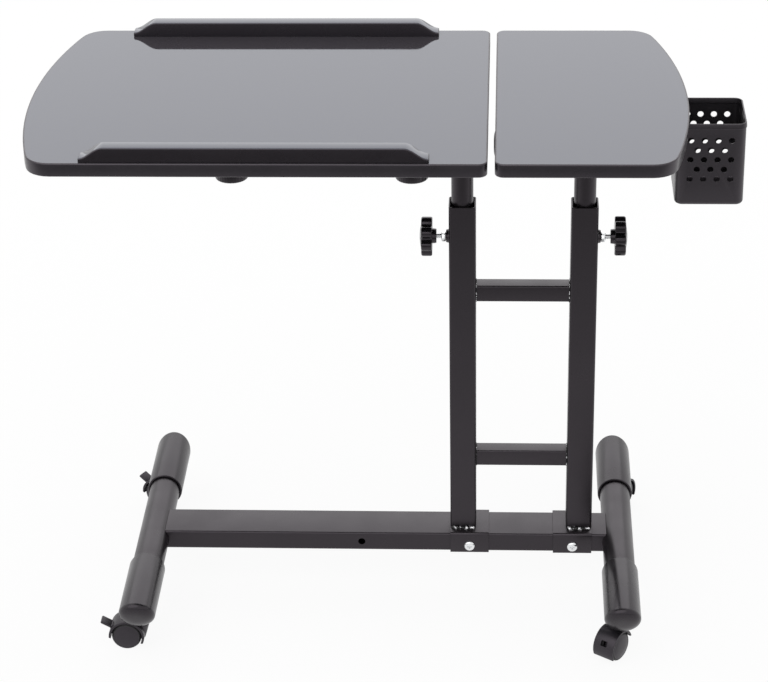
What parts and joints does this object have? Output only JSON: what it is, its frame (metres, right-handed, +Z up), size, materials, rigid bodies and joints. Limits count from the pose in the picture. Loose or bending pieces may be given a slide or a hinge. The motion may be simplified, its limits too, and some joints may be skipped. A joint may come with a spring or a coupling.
{
  "type": "rolling tattoo work table",
  "caption": "Rolling height-adjustable work table with a tilting large top, a small fixed top, stop bars, clamp knobs, casters and a pen basket.",
  "frame": {"origin": "on the floor, under the middle of the table's overall box", "axes": "+X towards the pen basket along the long side, +Y from the front towards the back, +Z up"},
  "size_m": [0.824, 0.4184, 0.6774],
  "materials": {
    "powder_coated_steel": "satin black powder coat on steel tube and sheet",
    "zinc_plated_steel": "bright zinc plate on nuts, screws, stems and axles",
    "moulded_black_plastic": "black moulded plastic, lightly textured",
    "satin_cap_plastic": "satin dark grey-black plastic sleeve caps",
    "charcoal_laminate": "charcoal gloss laminate on board with a black edge band"
  },
  "bodies": {
    "base_frame": {"crossbar": "powder_coated_steel", "foot_tube_left": "powder_coated_steel", "foot_cap_front_left": "satin_cap_plastic", "foot_cap_rear_left": "satin_cap_plastic", "upright_left": "powder_coated_steel", "saddle_bracket_left": "powder_coated_steel", "bracket_screw_left": "zinc_plated_steel", "clamp_nut_left": "zinc_plated_steel", "foot_tube_right": "powder_coated_steel", "foot_cap_front_right": "satin_cap_plastic", "foot_cap_rear_right": "satin_cap_plastic", "upright_right": "powder_coated_steel", "saddle_bracket_right": "powder_coated_steel", "bracket_screw_right": "zinc_plated_steel", "clamp_nut_right": "zinc_plated_steel", "rung_upper": "powder_coated_steel", "rung_lower": "powder_coated_steel", "caster_stem_front_left": "zinc_plated_steel", "caster_stem_rear_left": "zinc_plated_steel", "caster_stem_front_right": "zinc_plated_steel", "caster_stem_rear_right": "zinc_plated_steel"},
    "left_column": {"post_left": "powder_coated_steel", "cross_tube_left": "powder_coated_steel", "tube_plug_left_left": "moulded_black_plastic", "tube_plug_left_right": "moulded_black_plastic"},
    "right_column": {"post_right": "powder_coated_steel", "cross_tube_right": "powder_coated_steel", "tube_plug_right_left": "moulded_black_plastic", "tube_plug_right_right": "moulded_black_plastic", "worktop_small": "charcoal_laminate", "tube_saddle_inner": "moulded_black_plastic", "tube_saddle_outer": "moulded_black_plastic", "pen_basket": "powder_coated_steel"},
    "large_top": {"worktop_large": "charcoal_laminate", "stop_bar_front": "moulded_black_plastic", "stop_bar_rear": "moulded_black_plastic", "tilt_clamp_inner": "moulded_black_plastic", "tilt_clamp_outer": "moulded_black_plastic"},
    "tilt_knob_inner_turn": {"tilt_knob_inner": "moulded_black_plastic"},
    "tilt_knob_outer_turn": {"tilt_knob_outer": "moulded_black_plastic"},
    "height_knob_left_turn": {"height_knob_left": "moulded_black_plastic"},
    "height_knob_right_turn": {"height_knob_right": "moulded_black_plastic"},
    "caster_front_left": {"caster_hood_front_left": "moulded_black_plastic", "caster_axle_front_left": "zinc_plated_steel"},
    "wheel_front_left_a": {"caster_wheel_front_left_a": "moulded_black_plastic"},
    "wheel_front_left_b": {"caster_wheel_front_left_b": "moulded_black_plastic"},
    "brake_front_left": {"brake_lever_front_left": "moulded_black_plastic"},
    "caster_rear_left": {"caster_hood_rear_left": "moulded_black_plastic", "caster_axle_rear_left": "zinc_plated_steel"},
    "wheel_rear_left_a": {"caster_wheel_rear_left_a": "moulded_black_plastic"},
    "wheel_rear_left_b": {"caster_wheel_rear_left_b": "moulded_black_plastic"},
    "brake_rear_left": {"brake_lever_rear_left": "moulded_black_plastic"},
    "caster_front_right": {"caster_hood_front_right": "moulded_black_plastic", "caster_axle_front_right": "zinc_plated_steel"},
    "wheel_front_right_a": {"caster_wheel_front_right_a": "moulded_black_plastic"},
    "wheel_front_right_b": {"caster_wheel_front_right_b": "moulded_black_plastic"},
    "caster_rear_right": {"caster_hood_rear_right": "moulded_black_plastic", "caster_axle_rear_right": "zinc_plated_steel"},
    "wheel_rear_right_a": {"caster_wheel_rear_right_a": "moulded_black_plastic"},
    "wheel_rear_right_b": {"caster_wheel_rear_right_b": "moulded_black_plastic"}
  },
  "joints": [
    {"name": "left_height", "type": "slide", "parent": "base_frame", "child": "left_column", "axis": [0, 0, 1], "range_m": [-0.04, 0.24]},
    {"name": "large_top_tilt", "type": "hinge", "parent": "left_column", "child": "large_top", "pos_m": [0.086, 0, 0.5971], "axis": [1, 0, 0], "range_deg": [-45, 45]},
    {"name": "right_height", "type": "slide", "parent": "base_frame", "child": "right_column", "axis": [0, 0, 1], "range_m": [-0.04, 0.24]},
    {"name": "tilt_knob_inner_spin", "type": "hinge", "parent": "large_top", "child": "tilt_knob_inner_turn", "pos_m": [0.027, 0, 0.5971], "axis": [0, 0, 1], "continuous": true},
    {"name": "tilt_knob_outer_spin", "type": "hinge", "parent": "large_top", "child": "tilt_knob_outer_turn", "pos_m": [-0.185, 0, 0.5971], "axis": [0, 0, 1], "continuous": true},
    {"name": "height_knob_left_spin", "type": "hinge", "parent": "base_frame", "child": "height_knob_left_turn", "pos_m": [0.086, 0, 0.4781], "axis": [-1, 0, 0], "continuous": true},
    {"name": "height_knob_right_spin", "type": "hinge", "parent": "base_frame", "child": "height_knob_right_turn", "pos_m": [0.23, 0, 0.4781], "axis": [1, 0, 0], "continuous": true},
    {"name": "caster_front_left_swivel", "type": "hinge", "parent": "base_frame", "child": "caster_front_left", "pos_m": [-0.303, -0.16, 0.018], "axis": [0, 0, 1], "continuous": true},
    {"name": "wheel_front_left_a_roll", "type": "hinge", "parent": "caster_front_left", "child": "wheel_front_left_a", "pos_m": [-0.3215, -0.16, 0.018], "axis": [0, -1, 0], "continuous": true},
    {"name": "wheel_front_left_b_roll", "type": "hinge", "parent": "caster_front_left", "child": "wheel_front_left_b", "pos_m": [-0.3215, -0.16, 0.018], "axis": [0, -1, 0], "continuous": true},
    {"name": "brake_front_left_press", "type": "hinge", "parent": "caster_front_left", "child": "brake_front_left", "pos_m": [-0.33956, -0.16, 0.0276], "axis": [0, -1, 0], "range_deg": [0, 25]},
    {"name": "caster_rear_left_swivel", "type": "hinge", "parent": "base_frame", "child": "caster_rear_left", "pos_m": [-0.303, 0.16, 0.018], "axis": [0, 0, 1], "continuous": true},
    {"name": "wheel_rear_left_a_roll", "type": "hinge", "parent": "caster_rear_left", "child": "wheel_rear_left_a", "pos_m": [-0.31902, 0.16925, 0.018], "axis": [-0.5, -0.866, 0], "continuous": true},
    {"name": "wheel_rear_left_b_roll", "type": "hinge", "parent": "caster_rear_left", "child": "wheel_rear_left_b", "pos_m": [-0.31902, 0.16925, 0.018], "axis": [-0.5, -0.866, 0], "continuous": true},
    {"name": "brake_rear_left_press", "type": "hinge", "parent": "caster_rear_left", "child": "brake_rear_left", "pos_m": [-0.33466, 0.17828, 0.0276], "axis": [-0.5, -0.866, 0], "range_deg": [0, 25]},
    {"name": "caster_front_right_swivel", "type": "hinge", "parent": "base_frame", "child": "caster_front_right", "pos_m": [0.279, -0.16, 0.018], "axis": [0, 0, 1], "continuous": true},
    {"name": "wheel_front_right_a_roll", "type": "hinge", "parent": "caster_front_right", "child": "wheel_front_right_a", "pos_m": [0.26839, -0.17515, 0.018], "axis": [0.8192, -0.5736, 0], "continuous": true},
    {"name": "wheel_front_right_b_roll", "type": "hinge", "parent": "caster_front_right", "child": "wheel_front_right_b", "pos_m": [0.26839, -0.17515, 0.018], "axis": [0.8192, -0.5736, 0], "continuous": true},
    {"name": "caster_rear_right_swivel", "type": "hinge", "parent": "base_frame", "child": "caster_rear_right", "pos_m": [0.279, 0.16, 0.018], "axis": [0, 0, 1], "continuous": true},
    {"name": "wheel_rear_right_a_roll", "type": "hinge", "parent": "caster_rear_right", "child": "wheel_rear_right_a", "pos_m": [0.28825, 0.17602, 0.018], "axis": [-0.866, 0.5, 0], "continuous": true},
    {"name": "wheel_rear_right_b_roll", "type": "hinge", "parent": "caster_rear_right", "child": "wheel_rear_right_b", "pos_m": [0.28825, 0.17602, 0.018], "axis": [-0.866, 0.5, 0], "continuous": true}
  ]
}
